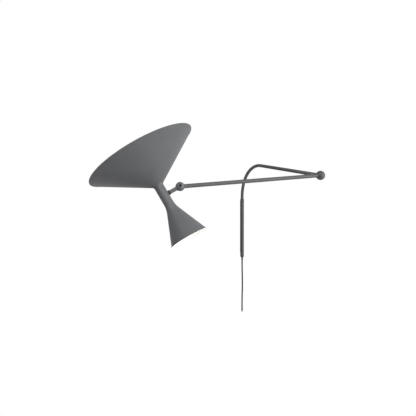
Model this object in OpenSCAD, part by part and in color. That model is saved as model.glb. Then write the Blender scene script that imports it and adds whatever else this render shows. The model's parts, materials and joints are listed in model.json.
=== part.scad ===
// Swing arm wall lamp with two opposed shades, built as it comes apart on a bench.
// Millimetres, +Z up. The wall is the plane y = 0, and the lamp stands out from it along -Y.
// The origin is the middle of the wall bar's back face.

/* [Pose] */
// Turn of the first arm from square to the wall, towards +X
swing_angle = 27; // [-85:1:85]
// Turn of the second arm from straight out of the first one
elbow_angle = -90; // [-120:1:120]
// Roll of the head about the second arm
roll_angle = 22.5; // [-90:0.5:90]
// Tilt of the head about its joint screw
tilt_angle = 20; // [-30:1:60]

/* [Wall mount] */
// Length of the wall bar
bar_length = 290; // [270:5:400]
// Width of the wall bar
bar_width = 18; // [16:1:30]
// Thickness of the wall bar
bar_thickness = 5; // [4:0.5:8]
// Distance between the two wall screw holes
screw_spacing = 240; // [200:5:250]
// Diameter of the wall screw holes
screw_hole_d = 5.5; // [4:0.5:6]
// Diameter of their countersinks
screw_sink_d = 11; // [9:0.5:13]
// Distance from the wall to the axis of the wall tube
wall_to_tube = 40; // [35:1:60]
// Distance between the two posts that carry the wall tube
post_spacing = 160; // [100:5:190]
// Outer diameter of the posts
post_od = 14; // [12:1:16]
// Diameter of the bar's pins, which the posts slide over
pin_d = 8; // [6:0.5:9]
// Length of the pins in front of the bar
pin_length = 18; // [12:1:22]

/* [Wall tube] */
// Length of the wall tube
tube_length = 307; // [280:1:400]
// How far the wall tube reaches below the middle of the bar
tube_below = 160; // [130:1:200]
// Outer diameter of the wall tube
tube_od = 20; // [20:0.5:26]
// Wall of the wall tube
tube_wall = 1.25; // [0.8:0.05:1.4]
// Length of the bushes that the first arm turns in
bush_length = 25; // [15:1:40]
// Thickness of the upper bush's flange
flange_height = 2; // [1:0.5:4]
// Height of the collar that carries the first arm
collar_height = 10.9; // [8:0.1:20]
// Height of bare tube from that collar to the bend
riser = 10; // [5:1:40]

/* [Arms] */
// Outer diameter of both arms
arm_od = 16; // [14:0.5:16]
// Wall of both arms
arm_wall = 2; // [1.5:0.25:2.5]
// Bend radius of the first arm, at its centreline
bend_radius = 185; // [120:5:240]
// Reach of the first arm, from the wall tube's axis to the elbow
reach_1 = 660; // [400:10:900]
// Reach of the second arm, from the elbow to the head joint
reach_2 = 660; // [400:10:900]
// Length of the first arm inside the wall tube
arm_depth = 206; // [150:1:220]
// Depth and half width of the groove that keeps the first arm in its tube
groove_depth = 1; // [0.5:0.25:1]

/* [Joints] */
// Diameter of the elbow ball
elbow_ball_d = 40; // [36:1:50]
// Diameter of the head joint's ball
head_ball_d = 35; // [34:1:44]
// Gap between a ball's two halves, which the friction ring fills
seam = 1; // [0.8:0.1:2]
// Diameter of the joint screws
joint_screw_d = 5; // [4:0.5:5]
// Angle between the second arm and square to the head joint's screw
neck_set = 20; // [0:1:25]

/* [Head] */
// Distance from the head joint to the axis of the shades
stub_reach = 69.5; // [64:0.5:100]
// Outer diameter of the stub between them
stub_od = 15; // [14:0.5:17]
// Outer diameter of the neck that carries both shades
neck_od = 38; // [38:0.5:46]
// Wall of the neck
neck_wall = 1.5; // [1:0.25:1.5]
// Height of the neck above the stub
neck_up = 43; // [36:1:60]
// Height of the neck below the stub
neck_down = 32; // [28:1:50]
// Diameter of the big shade
big_shade_d = 440; // [300:5:560]
// Depth of the big shade
big_shade_depth = 131; // [110:1:200]
// Diameter of the small shade
small_shade_d = 150; // [110:1:200]
// Length of the small shade
small_shade_length = 152; // [130:1:220]
// Radius of the sweep from the neck into the small shade
sweep_radius = 95; // [40:5:120]
// Wall of both spun shades
shade_wall = 1.2; // [0.8:0.1:2]
// Radius of the rolled rims
rim_radius = 1.4; // [1:0.1:2.5]

/* [Supply lead] */
// Diameter of the supply lead
lead_d = 7.5; // [6:0.5:8]
// Length of the strain relief's nose below the wall tube
nose_length = 20; // [20:1:40]
// Length of the shrunk cap on the lead's end
cap_length = 17; // [10:1:30]

/* [Clearances] */
// Radial clearance of a part that turns in another
running_gap = 0.05; // [0.02:0.01:0.1]
// Gap between faces that turn past each other
face_gap = 0.1; // [0.05:0.05:0.3]
// Gap between a ball half and the other half's neck
ball_gap = 0.4; // [0.3:0.1:1]

/* [Hidden] */
$fn = 96;

paint = "#63656a";
steel = "silver";
dark = "#262626";
white = "#f2f0ea";

// Wall mount
tube_bottom = -tube_below;
tube_top = tube_length - tube_below;
tube_id = tube_od - 2 * tube_wall;
post_gap = 1;
post_screw_d = 4;
post_screw_y = -bar_thickness - pin_length * 0.6;
pin_wall_clear = 2;
rivet_d = pin_d - 2;
screw_recess = 0.3;
countersink_height = (screw_sink_d - screw_hole_d) / 2;

// Strain relief and the lead's cap
relief_plug_length = 12;
relief_lip_height = 1.5;
relief_lip_d = tube_od - 0.5;
nose_tip_d = lead_d + 1;
nose_root_d = lead_d + 3;
cap_d = lead_d + 1.5;
cap_tip_d = lead_d - 1;
cap_taper = 3;

// First arm in its tube
arm_id = arm_od - 2 * arm_wall;
collar_bottom = tube_top + flange_height + face_gap;
collar_top = collar_bottom + collar_height;
bend_z = collar_top + riser;
arm_level = bend_z + bend_radius;
arm_bottom = tube_top - arm_depth;
bush_lip = 2;
collar_chamfer = 1;
retaining_d = 4;
retaining_z = tube_top - bush_length - 25;
groove_height = retaining_d + 1;

// Ball joints, named values shared by both
neck_length = 6;
neck_extra = 0.6;
spigot_length = 14;
roll_spigot_length = 30;
wire_bore_d = 6;
wire_d = 5;
wire_end_gap = 1;
hub_r = joint_screw_d / 2 + 2;
channel_depth = 5;
channel_width = 5;
ring_inset = 1.5;
head_seat = 6.5;
nut_seat = 6.5;
washer_height = 1.2;
screw_head_d = joint_screw_d * 1.7;
screw_head_height = joint_screw_d;
sink_d = screw_head_d + 0.9;
nut_af = 8;
nut_height = 4;
nut_pocket_d = nut_af / cos(30) + 0.4;
socket_af = 4;
socket_depth = 3;
roll_screw_d = 3;
roll_groove_depth = 1.2;
roll_screw_clear = 0.4;
roll_groove_width = roll_screw_d + 1;

// Head, along the shades' axis from the stub
neck_id = neck_od - 2 * neck_wall;
nipple_d = 10;
nipple_bore_d = 7;
collar_od = stub_od + 3;
stub_collar_height = 5;
disc_height = 2;
stub_nut_d = nipple_d * 1.6;
stub_nut_height = 3;
upper_disc_depth = 12;
upper_disc_z = neck_up - upper_disc_depth;
lower_disc_z = -stub_nut_d / 2 - wire_end_gap - disc_height;
upper_holder_d = 33;
upper_holder_length = 45;
upper_socket_d = 27.2;
upper_socket_depth = 27;
lower_holder_d = 27;
lower_holder_length = 38;
lower_socket_d = 14.6;
lower_socket_depth = 24;
ring_height = 5;
ring_flange = 5;
ring_flange_height = 3;
ring_slack = 0.2;
small_floor_depth = 12;
holder_spigot = disc_height + 2;
holder_gap = 0.1;
holder_bore = 5;
contact_height = 2;
upper_cap_d = 26.6;
lower_cap_d = 13.8;
upper_glass_d = 60;
upper_glass_length = 78;
lower_glass_d = 45;
lower_glass_length = 55;
glass_wall = 1;

// The supply lead's route, from the tip of the strain relief's nose down to its cap
lead_route = [
    [0, 0, 0], [0, 0, -20], [0.2, 0, -40], [0.5, -0.2, -60], [0.9, -0.5, -80], [1.2, -0.8, -100],
    [1.4, -1.1, -120], [1.4, -1.2, -140], [1.2, -1.1, -160], [0.9, -0.9, -180], [0.5, -0.6, -200],
    [0.2, -0.4, -220], [0, -0.2, -240], [-0.1, -0.1, -260], [-0.1, 0, -280]
];
lead_sides = 12;

// Placement: each module puts its children in the frame of one body, at the pose

module in_tube() translate([0, -wall_to_tube, 0]) children();

// The first arm runs out along -Y from the tube's axis
module in_first_arm() in_tube() rotate([0, 0, swing_angle]) children();

module at_elbow() in_first_arm() translate([0, -reach_1, arm_level]) children();

// The second arm runs out along -Y from the elbow
module in_second_arm() at_elbow() rotate([0, 0, elbow_angle]) children();

// The head joint's ball is at the origin, and the second arm comes in along its +Y
module in_head_roll() in_second_arm() translate([0, -reach_2, 0]) rotate([0, -roll_angle, 0]) children();

// The joint screw lies along +Z, towards the front half
module at_head_screw() in_head_roll() rotate([0, 0, -neck_set]) rotate([0, 90, 0]) children();

// The stub runs out along -Y and the big shade opens towards +Z
module in_head() in_head_roll() rotate([0, 0, -neck_set]) rotate([tilt_angle, 0, 0]) children();

module on_shade_axis() in_head() translate([0, -stub_reach, 0]) children();

// Shared shapes

// A cylinder along -Y, from distance a to distance b
module along_minus_y(d, a, b) rotate([90, 0, 0]) translate([0, 0, a]) cylinder(d = d, h = b - a);

module tube(od, id, h) difference() {
    cylinder(d = od, h = h);
    translate([0, 0, -1]) cylinder(d = id, h = h + 2);
}

// One half of a ball joint, above the seam, with its neck along -Y lifted by neck_lift degrees.
// spigot_d and spigot are the end that the tube slides over, and groove_at is 0 for no groove.
module ball_half(ball_d, neck_d, spigot_d, spigot, neck_lift = 0, groove_at = 0) {
    neck_end = ball_d / 2 + neck_length;
    difference() {
        union() {
            difference() {
                sphere(d = ball_d);
                translate([0, 0, seam / 2 - ball_d]) cube(2 * ball_d, center = true);
            }
            rotate([-neck_lift, 0, 0]) {
                along_minus_y(neck_d, ball_d / 4, neck_end);
                along_minus_y(spigot_d, neck_end - 1, neck_end + spigot);
            }
        }
        // room for the other half
        intersection() {
            sphere(d = ball_d + 2 * ball_gap);
            translate([0, 0, seam / 2 - ball_d]) cube(2 * ball_d, center = true);
        }
        // ring channel that lets the wires round the screw, and their way out along the neck
        translate([0, 0, seam / 2 - 1]) tube(2 * (hub_r + channel_width), 2 * hub_r, channel_depth + 1);
        rotate([-neck_lift, 0, 0]) along_minus_y(wire_bore_d, hub_r + 2, neck_end + spigot + 1);
        if (groove_at > 0)
            rotate([90 - neck_lift, 0, 0]) translate([0, 0, neck_end + groove_at])
                tube(spigot_d + 2, spigot_d - 2 * roll_groove_depth, roll_groove_width);
    }
}

module screw_passage(d, seat, pocket_d) {
    translate([0, 0, -1]) cylinder(d = d, h = 60);
    translate([0, 0, seat]) cylinder(d = pocket_d, h = 60);
}

module friction_ring(ball_d) translate([0, 0, -seam / 2])
    tube(ball_d - 2 * ring_inset, 2 * (hub_r + channel_width) + 1, seam - face_gap);

module joint_screw(d = joint_screw_d) {
    difference() {
        union() {
            translate([0, 0, -nut_seat - nut_height])
                cylinder(d = d, h = nut_seat + nut_height + head_seat + washer_height + 1);
            translate([0, 0, head_seat + washer_height]) cylinder(d = screw_head_d, h = screw_head_height);
        }
        translate([0, 0, head_seat + washer_height + screw_head_height - socket_depth])
            cylinder(d = socket_af / cos(30), h = socket_depth + 1, $fn = 6);
    }
}

module joint_washer() translate([0, 0, head_seat]) tube(screw_head_d, joint_screw_d, washer_height);

module joint_nut() translate([0, 0, -nut_seat - nut_height]) difference() {
    cylinder(d = nut_af / cos(30), h = nut_height, $fn = 6);
    translate([0, 0, -1]) cylinder(d = joint_screw_d, h = nut_height + 2);
}

// Wall mount

module wall_bar() color(paint) difference() {
    translate([-bar_width / 2, -bar_thickness, -bar_length / 2])
        cube([bar_width, bar_thickness, bar_length]);
    for (side = [-1, 1]) {
        translate([0, 0, side * screw_spacing / 2]) {
            translate([0, 1, 0]) along_minus_y(screw_hole_d, 0, bar_thickness + 2);
            rotate([90, 0, 0]) translate([0, 0, bar_thickness - countersink_height])
                cylinder(d1 = screw_hole_d, d2 = screw_sink_d, h = countersink_height);
        }
        translate([0, 1, side * post_spacing / 2]) along_minus_y(rivet_d, 0, bar_thickness + 2);
    }
}

// Shouldered pins, riveted into the bar
module bar_pins() color(steel) for (side = [-1, 1]) translate([0, 0, side * post_spacing / 2]) {
    along_minus_y(rivet_d, 0, bar_thickness);
    along_minus_y(pin_d, bar_thickness, bar_thickness + pin_length);
}

module tube_posts() color(paint) difference() {
    for (side = [-1, 1]) translate([0, 0, side * post_spacing / 2]) difference() {
        along_minus_y(post_od, bar_thickness + post_gap, wall_to_tube);
        along_minus_y(pin_d + 2 * running_gap, 0, bar_thickness + pin_length + pin_wall_clear);
        translate([0, post_screw_y, -post_od]) cylinder(d = post_screw_d, h = post_od);
    }
    in_tube() cylinder(d = tube_od, h = 2 * bar_length, center = true);
}

module post_screws() color(dark) for (side = [-1, 1])
    translate([0, post_screw_y, side * post_spacing / 2 - post_od / 2 + screw_recess])
        cylinder(d = post_screw_d, h = (post_od - pin_d) / 2 - screw_recess);

module wall_tube() color(paint) difference() {
    in_tube() translate([0, 0, tube_bottom]) tube(tube_od, tube_id, tube_length);
    in_tube() translate([0, 0, retaining_z]) rotate([180, 0, 0]) along_minus_y(retaining_d, 0, tube_od);
}

module upper_bush() color(dark) in_tube() {
    translate([0, 0, tube_top - bush_length])
        tube(tube_id, arm_od + 2 * running_gap, bush_length + flange_height);
    translate([0, 0, tube_top]) tube(tube_od, tube_id, flange_height);
}

module lower_bush() color(dark) in_tube() translate([0, 0, arm_bottom - bush_lip - 1]) difference() {
    cylinder(d = tube_id, h = bush_length);
    translate([0, 0, -1]) cylinder(d = arm_id, h = bush_length);
    translate([0, 0, bush_lip]) cylinder(d = arm_od + 2 * running_gap, h = bush_length);
}

module retaining_screw() color(dark) in_tube() translate([0, 0, retaining_z]) rotate([180, 0, 0])
    along_minus_y(retaining_d, arm_od / 2 - groove_depth + face_gap, tube_od / 2 - screw_recess);

// Rubber relief: a plug in the tube's end, a lip, and a nose that tapers to the lead
module strain_relief() color(dark) in_tube() translate([0, 0, tube_bottom]) difference() {
    union() {
        cylinder(d = tube_id, h = relief_plug_length);
        translate([0, 0, -relief_lip_height]) cylinder(d = relief_lip_d, h = relief_lip_height);
        translate([0, 0, -nose_length]) cylinder(d1 = nose_tip_d, d2 = nose_root_d, h = nose_length);
    }
    cylinder(d = lead_d, h = relief_plug_length + 1);
}

function unit(v) = v / norm(v);

function direction(route, i) = unit(route[min(i + 1, len(route) - 1)] - route[max(i - 1, 0)]);

// The ring of points round point i of the route
function ring(route, i, r) =
    let (u = unit(cross(direction(route, i), [0, 1, 0])), v = cross(direction(route, i), u))
    [for (k = [0 : lead_sides - 1]) let (a = 360 * k / lead_sides) route[i] + r * (u * cos(a) + v * sin(a))];

module swept_lead(route, r) {
    n = len(route);
    points = [for (i = [0 : n - 1]) each ring(route, i, r)];
    sides = [for (i = [0 : n - 2], k = [0 : lead_sides - 1])
        let (a = i * lead_sides + k, b = i * lead_sides + (k + 1) % lead_sides)
        [a, b, b + lead_sides, a + lead_sides]];
    first = [for (k = [lead_sides - 1 : -1 : 0]) k];
    last = [for (k = [0 : lead_sides - 1]) (n - 1) * lead_sides + k];
    polyhedron(points = points, faces = concat(sides, [first], [last]));
}

module from_nose() in_tube() translate([0, 0, tube_bottom - nose_length]) children();

module supply_lead() color(dark) from_nose() swept_lead(lead_route, lead_d / 2);

// Shrunk cap over the lead's insulated cores
module lead_end_cap() color(dark) from_nose() translate(lead_route[len(lead_route) - 1]) {
    translate([0, 0, cap_taper - cap_length]) cylinder(d = cap_d, h = cap_length - cap_taper);
    translate([0, 0, -cap_length]) cylinder(d1 = cap_tip_d, d2 = cap_d, h = cap_taper);
}

// First arm

// A rod that follows the first arm's centreline, from z = bottom to distance end from the tube's axis
module cane(d, bottom, end) {
    translate([0, 0, bottom]) cylinder(d = d, h = bend_z - bottom);
    translate([0, -bend_radius, bend_z]) rotate([90, 0, 90])
        rotate_extrude(angle = 90) translate([bend_radius, 0]) circle(d = d);
    translate([0, 0, arm_level]) along_minus_y(d, bend_radius, end);
}

first_arm_end = reach_1 - elbow_ball_d / 2 - neck_length;

module first_arm() color(paint) in_first_arm() difference() {
    cane(arm_od, arm_bottom, first_arm_end);
    cane(arm_id, arm_bottom - 1, reach_1);
    translate([0, 0, retaining_z - groove_height / 2])
        tube(arm_od + 2, arm_od - 2 * groove_depth, groove_height);
}

module arm_collar() color(paint) in_first_arm() translate([0, 0, collar_bottom]) difference() {
    union() {
        cylinder(d = tube_od, h = collar_height - collar_chamfer);
        translate([0, 0, collar_height - collar_chamfer])
            cylinder(d1 = tube_od, d2 = tube_od - 2 * collar_chamfer, h = collar_chamfer);
    }
    translate([0, 0, -1]) cylinder(d = arm_od, h = collar_height + 2);
    translate([0, 0, collar_height / 2]) rotate([180, 0, 0]) along_minus_y(retaining_d, 0, tube_od);
}

module collar_screw() color(dark) in_first_arm() translate([0, 0, collar_bottom + collar_height / 2])
    rotate([180, 0, 0]) difference() {
        along_minus_y(retaining_d, arm_od / 2 - 1, tube_od / 2 - screw_recess);
        cylinder(d = arm_od, h = 2 * retaining_d, center = true);
    }

module first_arm_wires() color(white) in_first_arm()
    cane(wire_d, arm_bottom + wire_end_gap, first_arm_end - spigot_length - wire_end_gap);

// Elbow

module elbow_lower_half() color(paint) at_elbow() rotate([0, 180, 180]) difference() {
    ball_half(elbow_ball_d, arm_od + neck_extra, arm_id, spigot_length);
    screw_passage(joint_screw_d, nut_seat, nut_pocket_d);
}

module elbow_upper_half() color(paint) in_second_arm() difference() {
    ball_half(elbow_ball_d, arm_od + neck_extra, arm_id, spigot_length);
    screw_passage(joint_screw_d + 2 * running_gap, head_seat, sink_d);
}

module elbow_friction_ring() color(dark) at_elbow() friction_ring(elbow_ball_d);

module elbow_screw() color(dark) at_elbow() joint_screw();

module elbow_washer() color(steel) at_elbow() joint_washer();

module elbow_nut() color(steel) at_elbow() joint_nut();

// Second arm

second_arm_start = elbow_ball_d / 2 + neck_length;
second_arm_end = reach_2 - head_ball_d / 2 - neck_length - face_gap;
roll_groove_at = 12;
roll_screw_y = reach_2 - head_ball_d / 2 - neck_length - roll_groove_at - roll_groove_width / 2;

module second_arm() color(paint) in_second_arm() difference() {
    along_minus_y(arm_od, second_arm_start, second_arm_end);
    along_minus_y(arm_id, second_arm_start - 1, second_arm_end + 1);
    translate([0, -roll_screw_y, -arm_od]) cylinder(d = roll_screw_d, h = arm_od);
}

module second_arm_wires() color(white) in_second_arm()
    along_minus_y(wire_d, second_arm_start + spigot_length + wire_end_gap,
        second_arm_end - roll_spigot_length - wire_end_gap);

// Its tip runs in the groove of the rear half's spigot
module roll_screw() color(dark) in_second_arm()
    translate([0, -roll_screw_y, screw_recess - arm_od / 2])
        cylinder(d = roll_screw_d, h = arm_wall - screw_recess + roll_groove_depth - roll_screw_clear);

// Head joint

module head_rear_half() color(paint) at_head_screw() rotate([0, 180, 180]) difference() {
    ball_half(head_ball_d, arm_od + neck_extra, arm_id - 2 * running_gap, roll_spigot_length, neck_set,
        roll_groove_at);
    screw_passage(joint_screw_d, nut_seat, nut_pocket_d);
}

module head_friction_ring() color(dark) at_head_screw() friction_ring(head_ball_d);

module head_screw() color(dark) at_head_screw() joint_screw();

module head_washer() color(steel) at_head_screw() joint_washer();

module head_nut() color(steel) at_head_screw() joint_nut();

module head_front_half() color(paint) in_head() rotate([0, 90, 0]) difference() {
    ball_half(head_ball_d, stub_od + neck_extra, nipple_d, spigot_length);
    screw_passage(joint_screw_d + 2 * running_gap, head_seat, sink_d);
}

// Stub and neck

stub_start = head_ball_d / 2 + neck_length;
stub_end = stub_reach - neck_od / 2 - 1;
nipple_start = stub_start + spigot_length;
stub_nut_at = stub_reach - sqrt(pow(neck_id / 2, 2) - pow(stub_nut_d / 2, 2)) + face_gap;
nipple_end = stub_nut_at + stub_nut_height + 1;

module stub_tube() color(paint) in_head() difference() {
    along_minus_y(stub_od, stub_start, stub_end - stub_collar_height);
    along_minus_y(nipple_d, stub_start - 1, stub_end);
}

module stub_collar() color(dark) in_head() difference() {
    along_minus_y(collar_od, stub_end - stub_collar_height, stub_reach);
    along_minus_y(nipple_d, 0, stub_reach + 1);
    translate([0, -stub_reach, 0]) cylinder(d = neck_od, h = 2 * collar_od, center = true);
}

module stub_nipple() color(steel) in_head() difference() {
    along_minus_y(nipple_d, nipple_start, nipple_end);
    along_minus_y(nipple_bore_d, nipple_start - 1, nipple_end + 1);
}

module stub_nut() color(steel) in_head() difference() {
    rotate([90, 0, 0]) translate([0, 0, stub_nut_at])
        cylinder(d = stub_nut_d, h = stub_nut_height, $fn = 6);
    along_minus_y(nipple_d, 0, stub_reach);
}

module neck_tube() color(paint) difference() {
    on_shade_axis() translate([0, 0, -neck_down]) tube(neck_od, neck_id, neck_down + neck_up);
    in_head() along_minus_y(nipple_d, 0, stub_reach);
}

// Shades

// A rolled rim's outline round the middle of a wall's end, where inner is the unit vector across the wall
function rolled_rim(centre, inner) =
    let (tip = [inner[1], -inner[0]], back = acos(shade_wall / 2 / rim_radius))
    [for (i = [0 : rim_steps]) let (a = -back + (180 + 2 * back) * i / rim_steps)
        centre + rim_radius * (tip * sin(a) - inner * cos(a))];

// The big shade's wall in the r, z half plane: a clamped floor and a straight cone
cone_slope = atan2(big_shade_depth, big_shade_d / 2 - rim_radius - neck_od / 2);
big_rim = [big_shade_d / 2 - rim_radius, neck_up + big_shade_depth];
inward = shade_wall * [-sin(cone_slope), cos(cone_slope)];
floor_top = neck_up + shade_wall;
floor_corner_r = neck_od / 2 + inward[0] + (shade_wall - inward[1]) / tan(cone_slope);

function big_cone_r(z) = floor_corner_r + (z - floor_top) / tan(cone_slope);

module big_shade() color(paint) on_shade_axis() rotate_extrude() polygon(concat(
    [[upper_holder_d / 2 + holder_gap, neck_up], [neck_od / 2, neck_up]],
    rolled_rim(big_rim + inward / 2, inward / shade_wall),
    [[floor_corner_r, floor_top], [upper_holder_d / 2 + holder_gap, floor_top]]
));

// Threaded ring on the upper holder, which clamps the big shade's floor to the neck
module big_shade_ring() color(white) on_shade_axis() rotate_extrude() polygon([
    [upper_holder_d / 2, floor_top],
    [floor_corner_r - ring_slack, floor_top],
    [floor_corner_r + ring_flange, floor_top + (ring_flange + ring_slack) * tan(cone_slope) + ring_slack],
    [floor_corner_r + ring_flange, floor_top + ring_height + ring_flange_height],
    [upper_holder_d / 2, floor_top + ring_height + ring_flange_height]
]);

// The small shade's sweep is an arc from the neck's wall, tangent to a straight cone
sweep_centre = [neck_od / 2 + sweep_radius, 0];
to_small_rim = [small_shade_d / 2 - rim_radius, small_shade_length] - sweep_centre;
sweep_end = atan2(to_small_rim[1], to_small_rim[0]) + acos(sweep_radius / norm(to_small_rim));
sweep_steps = 8;
rim_steps = 12;

// Unit vector across the straight cone's wall, towards the axis
small_inward = [cos(sweep_end), sin(sweep_end)];

// Points of the small shade's sweep from step first on, pushed in by depth
function small_sweep(depth, first) =
    [for (i = [first : sweep_steps])
        let (a = 180 + (sweep_end - 180) * i / sweep_steps)
        sweep_centre + (sweep_radius + depth) * [cos(a), sin(a)]];

small_floor_z = small_floor_depth - neck_down;

function down_from_neck(points) = [for (p = points) [p[0], -neck_down - p[1]]];

function reversed(list) = [for (i = [len(list) - 1 : -1 : 0]) list[i]];

module small_shade() color(paint) on_shade_axis() rotate_extrude() polygon(concat(
    [[lower_holder_d / 2 + holder_gap, small_floor_z - shade_wall],
     [lower_holder_d / 2 + holder_gap, small_floor_z],
     [neck_id / 2, small_floor_z],
     [neck_id / 2, -neck_down]],
    down_from_neck(concat(
        small_sweep(0, 0),
        rolled_rim(sweep_centre + to_small_rim + small_inward * shade_wall / 2, small_inward),
        reversed(small_sweep(shade_wall, 1)))),
    [[neck_id / 2 - shade_wall, -neck_down - 2 * shade_wall],
     [neck_id / 2 - shade_wall, small_floor_z - shade_wall]]
));

module small_shade_ring() color(white) on_shade_axis()
    translate([0, 0, small_floor_z - shade_wall - ring_height])
        tube(neck_id - 2 * shade_wall - 2 * ring_slack, lower_holder_d, ring_height);

// Lamp holders, their discs in the neck, and the bulbs

module holder_disc(z) translate([0, 0, z]) tube(neck_id, nipple_d, disc_height);

module upper_disc() color(steel) on_shade_axis() holder_disc(upper_disc_z);

module lower_disc() color(steel) on_shade_axis() holder_disc(lower_disc_z);

// A holder that stands on z = 0: a threaded spigot below, and a socket above
module holder(d, length, socket_d, socket_depth) difference() {
    union() {
        cylinder(d = d, h = length);
        translate([0, 0, -holder_spigot]) cylinder(d = nipple_d, h = holder_spigot + 1);
    }
    translate([0, 0, length - socket_depth]) cylinder(d = socket_d, h = socket_depth + 1);
    translate([0, 0, -holder_spigot - 1]) cylinder(d = wire_bore_d, h = holder_spigot + 1 + holder_bore);
}

// A bulb's screw cap, with its centre contact at the socket's floor
module bulb_cap(d, length) {
    translate([0, 0, contact_height]) cylinder(d = d, h = length - contact_height);
    cylinder(d1 = d * 0.4, d2 = d * 0.6, h = contact_height);
}

// A globe on a cone, from z = 0 to the far side of the globe
module bulb_shape(neck_d, globe_d, centre_z) {
    cylinder(d1 = neck_d, d2 = globe_d * 0.6, h = centre_z - globe_d * 0.4);
    translate([0, 0, centre_z]) sphere(d = globe_d);
}

// A bulb's glass, from its cap at z = 0 to the far side of its globe
module bulb_glass(cap_d, globe_d, length) difference() {
    bulb_shape(cap_d, globe_d, length - globe_d / 2);
    bulb_shape(cap_d - 2 * glass_wall, globe_d - 2 * glass_wall, length - globe_d / 2);
}

upper_cap_length = upper_socket_depth - holder_gap;
lower_cap_length = lower_socket_depth - holder_gap;

module on_upper_disc() on_shade_axis() translate([0, 0, upper_disc_z + disc_height]) children();

module on_lower_disc() on_shade_axis() translate([0, 0, lower_disc_z]) rotate([180, 0, 0]) children();

module upper_holder() color(white) on_upper_disc()
    holder(upper_holder_d, upper_holder_length, upper_socket_d, upper_socket_depth);

module lower_holder() color(white) on_lower_disc()
    holder(lower_holder_d, lower_holder_length, lower_socket_d, lower_socket_depth);

module upper_bulb_cap() color(steel) on_upper_disc()
    translate([0, 0, upper_holder_length - upper_cap_length]) bulb_cap(upper_cap_d, upper_cap_length);

module upper_bulb_glass() color(white) on_upper_disc()
    translate([0, 0, upper_holder_length]) bulb_glass(upper_cap_d, upper_glass_d, upper_glass_length);

module lower_bulb_cap() color(steel) on_lower_disc()
    translate([0, 0, lower_holder_length - lower_cap_length]) bulb_cap(lower_cap_d, lower_cap_length);

module lower_bulb_glass() color(white) on_lower_disc()
    translate([0, 0, lower_holder_length]) bulb_glass(lower_cap_d, lower_glass_d, lower_glass_length);

wires_bottom = lower_disc_z + holder_spigot + wire_end_gap;
wires_top = upper_disc_z + disc_height - holder_spigot - wire_end_gap;

// Wires from the stub's nipple up and down to the two holders
module head_wires() color(white) in_head() {
    along_minus_y(wire_d, nipple_end + wire_end_gap, stub_reach);
    translate([0, -stub_reach, wires_bottom]) cylinder(d = wire_d, h = wires_top - wires_bottom);
}

wall_bar();
bar_pins();
tube_posts();
post_screws();
wall_tube();
upper_bush();
lower_bush();
retaining_screw();
strain_relief();
supply_lead();
lead_end_cap();
first_arm();
arm_collar();
collar_screw();
first_arm_wires();
elbow_lower_half();
elbow_friction_ring();
elbow_screw();
elbow_washer();
elbow_nut();
second_arm();
second_arm_wires();
elbow_upper_half();
roll_screw();
head_rear_half();
head_friction_ring();
head_screw();
head_washer();
head_nut();
head_front_half();
stub_tube();
stub_collar();
stub_nipple();
stub_nut();
neck_tube();
big_shade();
big_shade_ring();
small_shade();
small_shade_ring();
upper_disc();
lower_disc();
upper_holder();
lower_holder();
upper_bulb_cap();
upper_bulb_glass();
lower_bulb_cap();
lower_bulb_glass();
head_wires();
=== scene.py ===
"""Swing arm wall lamp with a wide upward shade and a narrow downward shade: its finished surfaces.

The wall is the plane y = 0 and the lamp stands out along -Y. Sizes are in millimetres until MM turns
them to metres, and places come from the frame's joints and nodes.
"""

import json
import math

import bmesh
import bpy
from mathutils import Matrix, Vector


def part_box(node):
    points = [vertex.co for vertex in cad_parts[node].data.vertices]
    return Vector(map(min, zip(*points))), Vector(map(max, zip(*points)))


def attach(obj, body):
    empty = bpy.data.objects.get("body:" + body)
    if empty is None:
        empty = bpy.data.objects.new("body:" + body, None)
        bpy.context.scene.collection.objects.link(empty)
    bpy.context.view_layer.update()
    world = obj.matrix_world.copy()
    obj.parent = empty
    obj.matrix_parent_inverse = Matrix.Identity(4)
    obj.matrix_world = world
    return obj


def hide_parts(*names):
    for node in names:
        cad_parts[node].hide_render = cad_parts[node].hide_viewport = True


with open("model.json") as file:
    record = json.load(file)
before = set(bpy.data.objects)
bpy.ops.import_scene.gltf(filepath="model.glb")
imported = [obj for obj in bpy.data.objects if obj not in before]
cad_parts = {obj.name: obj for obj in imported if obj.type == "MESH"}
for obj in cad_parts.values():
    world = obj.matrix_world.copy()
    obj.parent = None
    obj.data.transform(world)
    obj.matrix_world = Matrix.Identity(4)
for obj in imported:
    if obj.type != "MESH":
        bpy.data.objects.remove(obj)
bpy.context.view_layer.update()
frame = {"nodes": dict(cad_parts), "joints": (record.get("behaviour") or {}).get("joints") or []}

MM = 0.001
JOINTS = {joint["name"]: joint for joint in frame["joints"]}

# ---------------------------------------------------------------- sizes, in millimetres

# The arms and the tube on the wall
ARM_OD = 16
ARM_WALL = 2
BEND_RADIUS = 185
WALL_TO_TUBE = 40
ELBOW_BALL_R = 20
BALL_NECK = 6
TUBE_ID = 17.5
TUBE_OD = 20

# The shades. Heights on their axis count from the stub, up towards the big shade
HEAD_TILT = math.radians(20)
STUB_REACH = 69.5
STUB_NUT_R = 8
NECK_R = 19
NECK_WALL = 1.5
NECK_UP = 43
NECK_DOWN = 32
SHADE_WALL = 1.2
RIM_R = 1.4
BIG_SHADE_R = 220
BIG_SHADE_DEPTH = 131
SMALL_SHADE_R = 75
SMALL_SHADE_LENGTH = 152
SMALL_FLOOR_DEPTH = 12
SWEEP_R = 95
SKIRT = 6

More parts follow.
